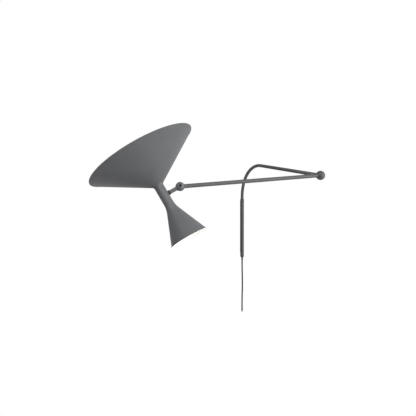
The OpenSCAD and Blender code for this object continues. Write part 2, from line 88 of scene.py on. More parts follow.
# The lamp holders and bulbs
DISC_HEIGHT = 2
UPPER_DISC_DEPTH = 12
WIRE_GAP = 1
UPPER_DISC_Z = NECK_UP - UPPER_DISC_DEPTH
LOWER_DISC_Z = -STUB_NUT_R - WIRE_GAP - DISC_HEIGHT
SPIGOT_R = 5
SPIGOT_PAST_DISC = 2
WIRE_BORE_R = 3
HOLDER_GAP = 0.1
UPPER_HOLDER_R = 16.5
UPPER_HOLDER_LENGTH = 45
UPPER_SOCKET_R = 13.6
UPPER_SOCKET_DEPTH = 27
LOWER_HOLDER_R = 13.5
LOWER_HOLDER_LENGTH = 38
LOWER_SOCKET_R = 7.3
LOWER_SOCKET_DEPTH = 24
UPPER_CAP_R = 13.3
UPPER_CAP_PITCH = 3.63
LOWER_CAP_R = 6.9
LOWER_CAP_PITCH = 2.82
CAP_GAP = 0.1
UPPER_GLOBE_R = 30
UPPER_GLASS_LENGTH = 78
LOWER_GLOBE_R = 22.5
LOWER_GLASS_LENGTH = 55

# The supply lead, its strain relief's nose and its end sleeve
LEAD_D = 7.5
NOSE_LENGTH = 20
SLEEVE_LENGTH = 17

# The lead's route, in millimetres from the tip of the strain relief's nose
LEAD_ROUTE = [
    (0, 0, 0), (0, 0, -20), (0.2, 0, -40), (0.5, -0.2, -60), (0.9, -0.5, -80), (1.2, -0.8, -100),
    (1.4, -1.1, -120), (1.4, -1.2, -140), (1.2, -1.1, -160), (0.9, -0.9, -180), (0.5, -0.6, -200),
    (0.2, -0.4, -220), (0, -0.2, -240), (-0.1, -0.1, -260), (-0.1, 0, -280),
]

# ---------------------------------------------------------------- places


def joint_at(name):
    """A joint's place, in metres."""
    return Vector(JOINTS[name]["pos_m"])


def joint_axis(name):
    return Vector(JOINTS[name]["axis"]).normalized()


def place(origin, x, y, z):
    """The matrix of a frame with these axes."""
    turn = Matrix((x, y, z)).transposed()
    return Matrix.Translation(origin) @ turn.to_4x4()


def shade_axis_place():
    """The shades' frame: Z towards the big shade, X along the head joint's screw."""
    screw = joint_axis("head_tilt")
    arm = joint_axis("head_roll")
    level = (arm - arm.dot(screw) * screw).normalized()
    stub = Matrix.Rotation(HEAD_TILT, 3, screw) @ level
    return place(joint_at("head_tilt") + stub * STUB_REACH * MM, screw, -stub, screw.cross(-stub))


SHADES = shade_axis_place()
TUBE = Matrix.Translation((0, -WALL_TO_TUBE * MM, 0))
NOSE_TIP_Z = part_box("wall_tube")[0].z - NOSE_LENGTH * MM
NOSE_TIP = Vector((0, -WALL_TO_TUBE * MM, NOSE_TIP_Z))

# ---------------------------------------------------------------- camera


def make_camera():
    """Above the head, facing the wall and looking a little down."""
    data = bpy.data.cameras.new("camera")
    data.lens = 48.67
    data.sensor_width = 36
    camera = bpy.data.objects.new("camera", data)
    bpy.context.scene.collection.objects.link(camera)
    stand = Matrix.Translation((-0.1843, -3.0271, 0.6498))
    degrees_down, degrees_rolled = 10.21, -0.57
    turn = Matrix.Rotation(math.radians(90 - degrees_down), 4, "X")
    roll = Matrix.Rotation(math.radians(degrees_rolled), 4, "Z")
    camera.matrix_world = stand @ turn @ roll
    bpy.context.scene.camera = camera


make_camera()

# ---------------------------------------------------------------- node helper and materials


def add(tree, kind, inputs=None, **settings):
    """Adds a node with its settings. An input is a number, a colour or another node's output socket."""
    node = tree.nodes.new(kind)
    for key, value in settings.items():
        setattr(node, key, value)
    for key, value in (inputs or {}).items():
        if isinstance(value, bpy.types.NodeSocket):
            tree.links.new(value, node.inputs[key])
        else:
            node.inputs[key].default_value = value
    return node


def colour(code):
    """An sRGB hex code as linear RGBA."""
    parts = [int(code[i:i + 2], 16) / 255 for i in (1, 3, 5)]
    linear = [p / 12.92 if p <= 0.04045 else ((p + 0.055) / 1.055) ** 2.4 for p in parts]
    return (*linear, 1.0)


def new_material(name):
    """A new material whose tree holds nothing but the Object coordinates that its patterns read."""
    material = bpy.data.materials.new(name)
    material.use_nodes = True
    tree = material.node_tree
    tree.nodes.clear()
    return material, tree, add(tree, "ShaderNodeTexCoord").outputs["Object"]


def noise(tree, coords, size_mm, detail=2.0, roughness=0.5):
    """A noise whose blotches are about size_mm across."""
    return add(tree, "ShaderNodeTexNoise", {
        "Vector": coords, "Scale": 1 / (size_mm * MM), "Detail": detail, "Roughness": roughness,
    }).outputs["Fac"]


def between(tree, fac, low, high):
    """fac's 0.3 to 0.7, which is most of a noise, stretched to low to high."""
    return add(tree, "ShaderNodeMapRange", {
        "Value": fac, "From Min": 0.3, "From Max": 0.7, "To Min": low, "To Max": high,
    }).outputs["Result"]


def blend_colours(tree, fac, first, second):
    """One sRGB hex colour where fac is 0, and another where it is 1."""
    return add(tree, "ShaderNodeMix", {
        "Factor": fac, "A": colour(first), "B": colour(second),
    }, data_type="RGBA").outputs["Result"]


def bump(tree, height, depth_mm, strength, normal=None):
    """The normal of a relief that depth, laid over another normal if one is given."""
    inputs = {"Height": height, "Distance": depth_mm * MM, "Strength": strength}
    if normal is not None:
        inputs["Normal"] = normal
    return add(tree, "ShaderNodeBump", inputs).outputs["Normal"]


def surface(material, tree, inputs):
    """Ends a material in a Principled shader with these inputs."""
    shader = add(tree, "ShaderNodeBsdfPrincipled", inputs)
    add(tree, "ShaderNodeOutputMaterial", {"Surface": shader.outputs["BSDF"]})
    return material


GREY_DARK, GREY_LIGHT = "#606163", "#6a6b6d"
# The tubes' grey is a darker copy of the head's grey: painted shade, since the lamp is one colour all over.
SHADED_TUBE_GREY_DARK, SHADED_TUBE_GREY_LIGHT = "#505153", "#595a5c"


def powder_coat(name, dark, light):
    """Matt polyester powder coat on steel: an even grey skin with a very fine orange peel."""
    material, tree, coords = new_material(name)
    cloud = noise(tree, coords, 55)
    peel = noise(tree, coords, 1.4, 3.0)
    grain = noise(tree, coords, 0.35)
    skin = bump(tree, peel, 0.05, 0.5)
    return surface(material, tree, {
        "Base Color": blend_colours(tree, cloud, dark, light),
        "Roughness": between(tree, grain, 0.46, 0.56),
        "Specular IOR Level": 0.45,
        "Normal": bump(tree, grain, 0.01, 0.4, skin),
    })


def spun_paint(name):
    """Sprayed paint on a spun aluminium shade: the same grey, over the faint rings that spinning leaves.
    The rings are drawn a few times coarser than real ones, so that they show."""
    material, tree, coords = new_material(name)
    local = add(tree, "ShaderNodeMapping", {
        "Vector": coords, "Location": SHADES.translation, "Rotation": SHADES.to_euler(),
    }, vector_type="TEXTURE").outputs["Vector"]
    flat = add(tree, "ShaderNodeVectorMath", {0: local, 1: (1, 1, 0)}, operation="MULTIPLY").outputs["Vector"]
    radius = add(tree, "ShaderNodeVectorMath", {0: flat}, operation="LENGTH").outputs["Value"]
    ring_pitch = 2.8 * MM
    wobble = add(tree, "ShaderNodeMath", {
        0: noise(tree, coords, 90), 1: 0.02, 2: radius}, operation="MULTIPLY_ADD").outputs["Value"]
    turns = add(tree, "ShaderNodeMath", {0: wobble, 1: math.tau / ring_pitch}, operation="MULTIPLY")
    rings = add(tree, "ShaderNodeMath", {0: turns.outputs["Value"]}, operation="SINE").outputs["Value"]
    cloud = noise(tree, coords, 80, 3.0)
    peel = noise(tree, coords, 1.6, 3.0)
    spun = bump(tree, rings, 0.006, 0.5)
    return surface(material, tree, {
        "Base Color": blend_colours(tree, cloud, GREY_DARK, GREY_LIGHT),
        "Roughness": between(tree, peel, 0.5, 0.58),
        "Specular IOR Level": 0.4,
        "Normal": bump(tree, peel, 0.05, 0.45, spun),
    })


def white_enamel(name):
    """Satin white stoving enamel on the shades' insides, a little warm and slightly uneven."""
    material, tree, coords = new_material(name)
    cloud = noise(tree, coords, 60)
    peel = noise(tree, coords, 1.8, 3.0)
    return surface(material, tree, {
        "Base Color": blend_colours(tree, cloud, "#f1efe9", "#f8f7f3"),
        "Roughness": between(tree, peel, 0.34, 0.44),
        "Normal": bump(tree, peel, 0.05, 0.4),
    })


def zinc_steel(name):
    """Bright zinc plate on steel: a pale grey metal with faint cloudy patches and fine drawing lines."""
    material, tree, coords = new_material(name)
    patch = noise(tree, coords, 6)
    line = noise(tree, coords, 0.5, 4.0, 0.7)
    return surface(material, tree, {
        "Base Color": blend_colours(tree, patch, "#a9abaa", "#c3c5c2"),
        "Metallic": 1.0,
        "Roughness": between(tree, line, 0.28, 0.42),
        "Normal": bump(tree, line, 0.01, 0.4),
    })


def black_steel(name):
    """Black oxide on cut steel screws: almost black, oily, with paler places where it is thin."""
    material, tree, coords = new_material(name)
    patch = noise(tree, coords, 3)
    grain = noise(tree, coords, 0.4, 3.0)
    return surface(material, tree, {
        "Base Color": blend_colours(tree, patch, "#161617", "#2a2a2c"),
        "Metallic": 0.9,
        "Roughness": between(tree, grain, 0.36, 0.5),
        "Normal": bump(tree, grain, 0.01, 0.4),
    })


def black_nylon(name):
    """Turned black nylon: a dull, slightly waxy plastic with a fine grain."""
    material, tree, coords = new_material(name)
    patch = noise(tree, coords, 5)
    grain = noise(tree, coords, 0.3, 3.0)
    return surface(material, tree, {
        "Base Color": blend_colours(tree, patch, "#1c1c1e", "#242427"),
        "Roughness": between(tree, grain, 0.5, 0.62),
        "IOR": 1.53,
        "Normal": bump(tree, grain, 0.02, 0.5),
    })


def black_rubber(name):
    """Moulded rubber of the strain relief: very dull and soft black, with a dusty bloom."""
    material, tree, coords = new_material(name)
    bloom = noise(tree, coords, 8, 4.0)
    grain = noise(tree, coords, 0.4, 2.0)
    return surface(material, tree, {
        "Base Color": blend_colours(tree, bloom, "#202022", "#2c2c2e"),
        "Roughness": between(tree, bloom, 0.7, 0.82),
        "IOR": 1.52,
        "Sheen Weight": 0.15,
        "Normal": bump(tree, grain, 0.03, 0.5),
    })


def lead_sheath(name):
    """Extruded dark PVC sheath: matt, with faint lengthwise waver from the die and the laid cores within."""
    material, tree, coords = new_material(name)
    stretched = add(tree, "ShaderNodeMapping", {"Vector": coords, "Scale": (1, 1, 0.06)})
    waver = noise(tree, stretched.outputs["Vector"], 1.5, 3.0)
    cloud = noise(tree, coords, 20)
    return surface(material, tree, {
        "Base Color": blend_colours(tree, cloud, "#18191b", "#1f2022"),
        "Roughness": between(tree, waver, 0.62, 0.74),
        "Specular IOR Level": 0.2,
        "Normal": bump(tree, waver, 0.06, 0.5),
    })


def shrink_sleeve(name):
    """Heat-shrunk black sleeve: thin, faintly glossy and rippled where it has drawn in."""
    material, tree, coords = new_material(name)
    squashed = add(tree, "ShaderNodeMapping", {"Vector": coords, "Scale": (0.3, 0.3, 1)})
    ripple = noise(tree, squashed.outputs["Vector"], 1.6, 2.0)
    return surface(material, tree, {
        "Base Color": blend_colours(tree, ripple, "#1b1b1d", "#262628"),
        "Roughness": between(tree, ripple, 0.38, 0.5),
        "Normal": bump(tree, ripple, 0.12, 0.6),
    })


def white_pvc(name):
    """White PVC wire insulation, smooth and slightly yellow."""
    material, tree, coords = new_material(name)
    cloud = noise(tree, coords, 12)
    return surface(material, tree, {
        "Base Color": blend_colours(tree, cloud, "#e3e0d8", "#ece9e2"),
        "Roughness": between(tree, cloud, 0.38, 0.46),
        "Normal": bump(tree, noise(tree, coords, 0.8), 0.02, 0.4),
    })


def white_plastic(name):
    """Moulded white thermoplastic of the lamp holders: satin, with the fine spark texture of its mould."""
    material, tree, coords = new_material(name)
    cloud = noise(tree, coords, 15)
    spark = noise(tree, coords, 0.5, 3.0)
    return surface(material, tree, {
        "Base Color": blend_colours(tree, cloud, "#e9e6de", "#f1eee7"),
        "Roughness": between(tree, spark, 0.4, 0.52),
        "IOR": 1.55,
        "Normal": bump(tree, spark, 0.03, 0.5),
    })


def cap_metal(name):
    """Rolled aluminium of a bulb's cap: soft bright metal, scuffed along the thread."""
    material, tree, coords = new_material(name)
    scuff = noise(tree, coords, 1.2, 4.0, 0.7)
    return surface(material, tree, {
        "Base Color": blend_colours(tree, scuff, "#bdbdba", "#d6d6d2"),
        "Metallic": 1.0,
        "Roughness": between(tree, scuff, 0.24, 0.42),
        "Normal": bump(tree, scuff, 0.02, 0.4),
    })


def black_vitrite(name):
    """Black glass that insulates a cap's centre contact: cast, glossy and a little lumpy."""
    material, tree, coords = new_material(name)
    lump = noise(tree, coords, 3, 2.0)
    return surface(material, tree, {
        "Base Color": blend_colours(tree, lump, "#0c0c0e", "#161519"),
        "Roughness": between(tree, lump, 0.08, 0.16),
        "IOR": 1.52,
        "Normal": bump(tree, lump, 0.15, 0.5),
    })


def opal_glass(name):
    """Silica-frosted glass of the bulbs: a milky white that is soft inside and smooth outside."""
    material, tree, coords = new_material(name)
    cloud = noise(tree, coords, 25, 3.0)
    frost = noise(tree, coords, 0.6, 2.0)
    return surface(material, tree, {
        "Base Color": blend_colours(tree, cloud, "#f2efe7", "#faf8f2"),
        "Roughness": between(tree, frost, 0.22, 0.32),
        "IOR": 1.5,
        "Coat Weight": 0.35,
        "Coat Roughness": 0.12,
        "Normal": bump(tree, frost, 0.008, 0.4),
    })


def floor_paint(name):
    """Pale matt floor paint, with nothing on it to draw the eye."""
    material, tree, coords = new_material(name)
    cloud = noise(tree, coords, 700, 3.0)
    return surface(material, tree, {
        "Base Color": blend_colours(tree, cloud, "#dedee0", "#e6e6e7"),
        "Roughness": 0.9,
    })


HEAD_PAINT = powder_coat("grey_powder_coat", GREY_DARK, GREY_LIGHT)
# A darker copy of the same powder coat for the tubes and wall parts: painted shade.
SHADED_TUBE_PAINT = powder_coat("grey_powder_coat_shaded_on_tube", SHADED_TUBE_GREY_DARK, SHADED_TUBE_GREY_LIGHT)
SPUN = spun_paint("grey_paint_on_spun_aluminium")
ENAMEL = white_enamel("white_stoving_enamel")
ZINC = zinc_steel("zinc_plated_steel")
OXIDE = black_steel("black_oxide_steel")
NYLON = black_nylon("black_nylon")
RUBBER = black_rubber("moulded_rubber")
SHEATH = lead_sheath("dark_pvc_sheath")
SLEEVE = shrink_sleeve("heat_shrink_sleeve")
PVC = white_pvc("white_pvc_insulation")
MOULDED = white_plastic("moulded_white_plastic")
CAP = cap_metal("rolled_aluminium_cap")
VITRITE = black_vitrite("black_cap_glass")
OPAL = opal_glass("opal_bulb_glass")

# ---------------------------------------------------------------- outlines


def fillet(before, corner, after, radius, steps=6):
    """The arc of that radius, in points, which rounds the corner between two straight stretches."""
    a = (Vector(before) - Vector(corner)).normalized()
    b = (Vector(after) - Vector(corner)).normalized()
    half = a.angle(b) / 2
    centre = Vector(corner) + (a + b).normalized() * radius / math.sin(half)
    start = Vector(corner) + a * radius / math.tan(half) - centre
    end = Vector(corner) + b * radius / math.tan(half) - centre
    sweep = start.angle_signed(end)
    return [tuple(centre + Matrix.Rotation(-sweep * i / steps, 2) @ start) for i in range(steps + 1)]


def rounded(points):
    """An outline of (r, z) or (r, z, corner radius) points, with those corners rounded."""
    result = []
    for i, point in enumerate(points):
        if len(point) == 3:
            result += fillet(points[i - 1][:2], point[:2], points[(i + 1) % len(points)][:2], point[2])
        else:
            result.append(point)
    return result


def arc(centre, radius, start, end, steps):
    """Points on a circle in the r, z half plane, from one angle to another, in degrees."""
    turn = [math.radians(start + (end - start) * i / steps) for i in range(steps + 1)]
    return [(centre[0] + radius * math.cos(t), centre[1] + radius * math.sin(t)) for t in turn]


def split(start, end, parts):
    """The points between two ends, which keep a long face from being one strip."""
    return [tuple(Vector(start).lerp(Vector(end), i / parts)) for i in range(1, parts)]


# ---------------------------------------------------------------- meshes


def link(name, data):
    """A new object in the scene that holds a mesh, a curve or a light."""
    piece = bpy.data.objects.new(name, data)
    bpy.context.scene.collection.objects.link(piece)
    return piece


def turned(name, runs, sides=96):
    """Turns a closed outline round Z. runs is a list of (points in millimetres, material), joined end to end.
    An outline that starts and ends on the axis is closed there by its two poles."""
    bm = bmesh.new()
    points = [(p, k) for k, (run, _) in enumerate(runs) for p in run]
    on_axis = points[0][0][0] < 1e-6
    rings = []
    for (r, z), _ in points:
        if r < 1e-6:
            rings.append([bm.verts.new((0, 0, z * MM))] * sides)
        else:
            angles = [math.tau * i / sides for i in range(sides)]
            rings.append([bm.verts.new((r * MM * math.cos(t), r * MM * math.sin(t), z * MM)) for t in angles])
    last = len(rings) - 1 if on_axis else len(rings)
    for i in range(last):
        here, there = rings[i], rings[(i + 1) % len(rings)]
        for k in range(sides):
            corners = [here[k], here[(k + 1) % sides], there[(k + 1) % sides], there[k]]
            corners = list(dict.fromkeys(corners))
            bm.faces.new(corners).material_index = points[i][1]
    bmesh.ops.remove_doubles(bm, verts=bm.verts, dist=1e-7)
    bmesh.ops.recalc_face_normals(bm, faces=bm.faces)
    mesh = bpy.data.meshes.new(name)
    bm.to_mesh(mesh)
    bm.free()
    for _, material in runs:
        mesh.materials.append(material)
    smooth(mesh)
    return link(name, mesh)


def smooth(mesh):
    """Smooth shading, with the edges over 35 degrees kept sharp."""
    mesh.shade_smooth()
    mesh.set_sharp_from_angle(angle=math.radians(35))


def settle(piece, matrix, body, slot, *nodes):
    """Bakes a piece's place into its mesh, hangs it on its body and hides the nodes that it stands in for.
    slot is not used.
    """
    piece.data.transform(matrix)
    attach(piece, body)
    if nodes:
        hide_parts(*nodes)
    return piece


def geometry_tree(name, sizes):
    """A Geometry Nodes tree with an input for each named size, and its group input node."""
    tree = bpy.data.node_groups.new(name, "GeometryNodeTree")
    tree.interface.new_socket("Geometry", in_out="INPUT", socket_type="NodeSocketGeometry")
    for label, kind in sizes.items():
        tree.interface.new_socket(label, in_out="INPUT", socket_type=kind)
    tree.interface.new_socket("Material", in_out="INPUT", socket_type="NodeSocketMaterial")
    tree.interface.new_socket("Geometry", in_out="OUTPUT", socket_type="NodeSocketGeometry")
    return tree, add(tree, "NodeGroupInput").outputs


def end_tree(tree, given, geometry):
    """Realizes, sets the material and ends the tree."""
    real = add(tree, "GeometryNodeRealizeInstances", {"Geometry": geometry})
    painted = add(tree, "GeometryNodeSetMaterial", {
        "Geometry": real.outputs["Geometry"], "Material": given["Material"]})
    add(tree, "NodeGroupOutput", {"Geometry": painted.outputs["Geometry"]})
    return tree


def end_tree_on_base(tree, given, geometry):
    """Ends a tree that adds geometry to the mesh it was given."""
    joined = add(tree, "GeometryNodeJoinGeometry")
    tree.links.new(given["Geometry"], joined.inputs["Geometry"])
    tree.links.new(geometry, joined.inputs["Geometry"])
    return end_tree(tree, given, joined.outputs["Geometry"])


def grown(base, tree, name, material, **sizes):
    """The plain mesh that a tree makes of base, as a new object. base is removed."""
    modifier = base.modifiers.new(tree.name, "NODES")
    modifier.node_group = tree
    values = {**{key.replace("_", " "): value for key, value in sizes.items()}, "material": material}
    for item in tree.interface.items_tree:
        if item.in_out == "INPUT" and item.name.lower() in values:
            modifier[item.identifier] = values[item.name.lower()]
    bpy.context.view_layer.update()
    graph = bpy.context.evaluated_depsgraph_get()
    mesh = bpy.data.meshes.new_from_object(base.evaluated_get(graph), depsgraph=graph)
    base.modifiers.remove(modifier)
    bpy.data.objects.remove(base)
    mesh.name = name
    smooth(mesh)
    return link(name, mesh)


def swept_tree():
    """A tube's outer skin along a path whose corners are bent to a radius."""
    tree, given = geometry_tree("bent_tube", {
        "Diameter": "NodeSocketFloat", "Bend Radius": "NodeSocketFloat",
        "Bend Steps": "NodeSocketInt", "Sides": "NodeSocketInt"})
    bent = add(tree, "GeometryNodeFilletCurve", {
        "Curve": given["Geometry"], "Count": given["Bend Steps"], "Radius": given["Bend Radius"],
    }, mode="POLY")
    radius = add(tree, "ShaderNodeMath", {0: given["Diameter"], 1: 0.5}, operation="MULTIPLY")
    ring = add(tree, "GeometryNodeCurvePrimitiveCircle", {
        "Resolution": given["Sides"], "Radius": radius.outputs["Value"]})
    skin = add(tree, "GeometryNodeCurveToMesh", {
        "Curve": bent.outputs["Curve"], "Profile Curve": ring.outputs["Curve"]})
    return end_tree(tree, given, skin.outputs["Mesh"])


def thread_tree():
    """A rolled thread: a round ridge wound up the turned core that the tree is given."""
    tree, given = geometry_tree("rolled_thread", {
        "Radius": "NodeSocketFloat", "Start": "NodeSocketFloat", "Height": "NodeSocketFloat",
        "Turns": "NodeSocketFloat", "Ridge": "NodeSocketFloat"})
    helix = add(tree, "GeometryNodeCurveSpiral", {
        "Resolution": 64, "Rotations": given["Turns"], "Start Radius": given["Radius"],
        "End Radius": given["Radius"], "Height": given["Height"]})
    ring = add(tree, "GeometryNodeCurvePrimitiveCircle", {"Resolution": 8, "Radius": given["Ridge"]})
    ridge = add(tree, "GeometryNodeCurveToMesh", {
        "Curve": helix.outputs["Curve"], "Profile Curve": ring.outputs["Curve"], "Fill Caps": True})
    up = add(tree, "ShaderNodeCombineXYZ", {"Z": given["Start"]}).outputs["Vector"]
    lifted = add(tree, "GeometryNodeTransform", {"Geometry": ridge.outputs["Mesh"], "Translation": up})
    return end_tree_on_base(tree, given, lifted.outputs["Geometry"])


def grip_tree():
    """Grip ribs: upright round ribs, evenly spaced round the ring that the tree is given."""
    tree, given = geometry_tree("grip_ribs", {
        "Count": "NodeSocketInt", "Radius": "NodeSocketFloat", "Start": "NodeSocketFloat",
        "Height": "NodeSocketFloat", "Rib": "NodeSocketFloat"})
    circle = add(tree, "GeometryNodeMeshCircle", {"Vertices": given["Count"], "Radius": given["Radius"]})
    rib = add(tree, "GeometryNodeMeshCylinder", {
        "Vertices": 10, "Radius": given["Rib"], "Depth": given["Height"]})
    half_way = add(tree, "ShaderNodeMath", {
        0: given["Height"], 1: 0.5, 2: given["Start"]}, operation="MULTIPLY_ADD").outputs["Value"]
    up = add(tree, "ShaderNodeCombineXYZ", {"Z": half_way}).outputs["Vector"]
    placed = add(tree, "GeometryNodeTransform", {"Geometry": circle.outputs["Mesh"], "Translation": up})
    ribs = add(tree, "GeometryNodeInstanceOnPoints", {
        "Points": placed.outputs["Geometry"], "Instance": rib.outputs["Mesh"]})
    return end_tree_on_base(tree, given, ribs.outputs["Instances"])


BENT_TUBE = swept_tree()
ROLLED_THREAD = thread_tree()
GRIP_RIBS = grip_tree()

# ---------------------------------------------------------------- the supply lead


def supply_lead():
    """The lead, hanging straight down from the strain relief to its sleeved end."""
    data = bpy.data.curves.new("supply_lead", "CURVE")
    data.dimensions = "3D"
    data.bevel_depth = LEAD_D / 2 * MM
    data.bevel_resolution = 6
    data.use_fill_caps = True
    spline = data.splines.new("BEZIER")
    spline.bezier_points.add(len(LEAD_ROUTE) - 1)
    for point, at in zip(spline.bezier_points, LEAD_ROUTE):
        point.co = NOSE_TIP + Vector(at) * MM
        point.handle_left_type = point.handle_right_type = "AUTO"
    data.materials.append(SHEATH)
    lead = link("hanging_lead", data)
    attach(lead, "wall_mount")
    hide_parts("supply_lead")
    return lead


def lead_sleeve():
    """The shrunk sleeve: tight on the lead, drawn in past the lead's end and pinched shut."""
    lead_r = LEAD_D / 2
    wall, pinch = 0.5, 0.9
    snug_down_to, drawn_in_at = -9, -12.5
    outline = rounded([
        (0, 0), (lead_r + wall - 0.15, 0, 0.2), (lead_r + wall, -2), (lead_r + wall - 0.1, snug_down_to, 2),
        (lead_r - pinch + 0.3, drawn_in_at, 2), (lead_r - pinch, -SLEEVE_LENGTH, 1.2), (0, -SLEEVE_LENGTH)])
    end = NOSE_TIP + Vector(LEAD_ROUTE[-1]) * MM
    piece = turned("lead_sleeve", [(outline, SLEEVE)], 48)
    return settle(piece, Matrix.Translation(end), "wall_mount", "black_rubber", "lead_end_cap")


sleeve = lead_sleeve()
supply_lead()


def ribbed_relief():
    """The strain relief: a plug in the tube, a lip, and a tapered nose with ring grooves."""
    lead_r = LEAD_D / 2
    plug_height, lip_height = 12, 1.5
    lip_r = TUBE_OD / 2 - 0.25
    root_r, tip_r = lead_r + 1.5, lead_r + 0.5
    grooves, groove_width, groove_depth, flank = 4, 1.2, 0.7, 0.2
    first_groove, plain_ends = 3, 5
    pitch = (NOSE_LENGTH - plain_ends) / grooves
    nose = []
    for i in range(grooves):
        z = -first_groove - i * pitch
        r = root_r + (root_r - tip_r) * z / NOSE_LENGTH
        nose += [(r, z), (r - groove_depth, z - flank), (r - groove_depth - 0.05, z - groove_width),
                 (r - 0.1, z - groove_width - flank)]
    outline = rounded([
        (lead_r, plug_height), (TUBE_ID / 2, plug_height, 0.5), (TUBE_ID / 2, 0), (lip_r, 0, 0.3),
        (lip_r, -lip_height, 0.6), (root_r, -lip_height, 0.8)]) + nose + [
            (tip_r, -NOSE_LENGTH), (lead_r, -NOSE_LENGTH)]
    piece = turned("ribbed_relief", [(outline, RUBBER)], 64)
    at = Matrix.Translation((0, 0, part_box("wall_tube")[0].z)) @ TUBE
    settle(piece, at, "wall_mount", "black_rubber", "strain_relief")


ribbed_relief()

# ---------------------------------------------------------------- the arms


def bent_arm():
    """The first arm: one tube, up out of the wall tube, through the bend and out to the elbow."""
    elbow = joint_at("elbow_swing")
    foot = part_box("first_arm")[0].z
    shoulder = Vector((0, -WALL_TO_TUBE * MM, elbow.z))
    outward = (elbow - shoulder).normalized()
    data = bpy.data.curves.new("arm_path", "CURVE")
    data.dimensions = "3D"
    spline = data.splines.new("POLY")
    end = elbow - outward * (ELBOW_BALL_R + BALL_NECK) * MM
    stops = [Vector((shoulder.x, shoulder.y, foot)), shoulder, end]
    spline.points.add(len(stops) - 1)
    for point, at in zip(spline.points, stops):
        point.co = (*at, 1)
    # The arm takes the darker copy of the grey powder coat: painted shade.
    arm = grown(link("arm_path", data), BENT_TUBE, "bent_arm", SHADED_TUBE_PAINT, diameter=ARM_OD * MM,
                bend_radius=BEND_RADIUS * MM, bend_steps=48, sides=64)
    wall = arm.modifiers.new("wall", "SOLIDIFY")
    wall.thickness = ARM_WALL * MM
    wall.offset = -1
    settle(arm, Matrix.Identity(4), "inner_arm", "grey_paint", "first_arm")


bent_arm()

# ---------------------------------------------------------------- the shades

# The grey paint of a shade's outside ends at this point of its rim's bead
PAINTED_BEAD_POINTS = 9
SMALL_FLOOR_Z = SMALL_FLOOR_DEPTH - NECK_DOWN


def rolled_rim(centre, tip):
    """The rim's bead round a wall's end, from the outer face over the tip to the inner one. The angle of
    the tip is in degrees."""
    back = math.degrees(math.acos(SHADE_WALL / 2 / RIM_R))
    return arc(centre, RIM_R, tip - 90 - back, tip + 90 + back, 16)


def wide_shade():
    """The big spun shade: grey outside with a filleted skirt on the neck, white inside, with a beaded rim."""
    floor_z = NECK_UP
    floor_top = floor_z + SHADE_WALL
    rim_r, rim_z = BIG_SHADE_R - RIM_R, NECK_UP + BIG_SHADE_DEPTH
    slope = math.atan2(rim_z - floor_z, rim_r - NECK_R)
    inward = (-SHADE_WALL * math.sin(slope), SHADE_WALL * math.cos(slope))
    hole_r = UPPER_HOLDER_R + HOLDER_GAP
    corner_r = NECK_R + inward[0] + (SHADE_WALL - inward[1]) / math.tan(slope)
    skirt_r = NECK_R + 0.02
    skirt_fillet, floor_fillet = 1.86 * SKIRT, 4
    bead = rolled_rim((rim_r + inward[0] / 2, rim_z + inward[1] / 2), math.degrees(slope))
    fair = fillet((skirt_r, floor_z - 2 * SKIRT), (skirt_r, floor_z), (rim_r, rim_z), skirt_fillet, 10)
    bend = fillet(bead[-1], (corner_r, floor_top), (hole_r, floor_top), floor_fillet)
    outside = [(hole_r, floor_z), (skirt_r, floor_z)] + fair + split(fair[-1], bead[0], 12)
    outside += bead[:PAINTED_BEAD_POINTS]
    inside = bead[PAINTED_BEAD_POINTS:] + split(bead[-1], bend[0], 12) + bend + [(hole_r, floor_top)]
    piece = turned("wide_shade", [(outside, SPUN), (inside, ENAMEL)], 224)
    settle(piece, SHADES, "lamp_head", "shade_paint", "big_shade")


def narrow_shade():
    """The small spun shade: its floor is up in the neck, and it sweeps out of the neck into a straight cone,
    white inside."""
    centre = (NECK_R + SWEEP_R, -NECK_DOWN)
    to_rim = Vector((SMALL_SHADE_R - RIM_R - centre[0], SMALL_SHADE_LENGTH))
    end = math.degrees(math.atan2(to_rim.y, to_rim.x) + math.acos(SWEEP_R / to_rim.length))
    rim = Vector((centre[0] + to_rim.x, centre[1] - to_rim.y))
    across = Vector((math.cos(math.radians(end)), -math.sin(math.radians(end)))) * SHADE_WALL
    bead = rolled_rim(tuple(rim + across / 2), -(end - 90))[::-1]
    sweep = arc(centre, SWEEP_R, -180, -end, 20)
    sweep_in = arc(centre, SWEEP_R + SHADE_WALL, -177, -end, 20)
    inner_r = NECK_R - NECK_WALL
    throat_r = inner_r - SHADE_WALL
    hole_r = LOWER_HOLDER_R + HOLDER_GAP
    floor_under = SMALL_FLOOR_Z - SHADE_WALL
    outside = [(hole_r, SMALL_FLOOR_Z), (inner_r, SMALL_FLOOR_Z), (inner_r, -NECK_DOWN)] + sweep
    outside += split(sweep[-1], bead[0], 8) + bead[:PAINTED_BEAD_POINTS]
    inside = bead[PAINTED_BEAD_POINTS:] + split(bead[-1], sweep_in[-1], 8) + sweep_in[::-1]
    inside += [(throat_r, -NECK_DOWN - 2 * SHADE_WALL), (throat_r, floor_under), (hole_r, floor_under)]
    piece = turned("narrow_shade", [(outside, SPUN), (inside, ENAMEL)], 160)
    settle(piece, SHADES, "lamp_head", "shade_paint", "small_shade")


wide_shade()
narrow_shade()

# ---------------------------------------------------------------- lamp holders and bulbs


def raised(height):
    """The place that many millimetres up an axis."""
    return Matrix.Translation((0, 0, height * MM))


UPPER_AT = SHADES @ raised(UPPER_DISC_Z + DISC_HEIGHT)
LOWER_AT = SHADES @ raised(LOWER_DISC_Z) @ Matrix.Rotation(math.pi, 4, "X")


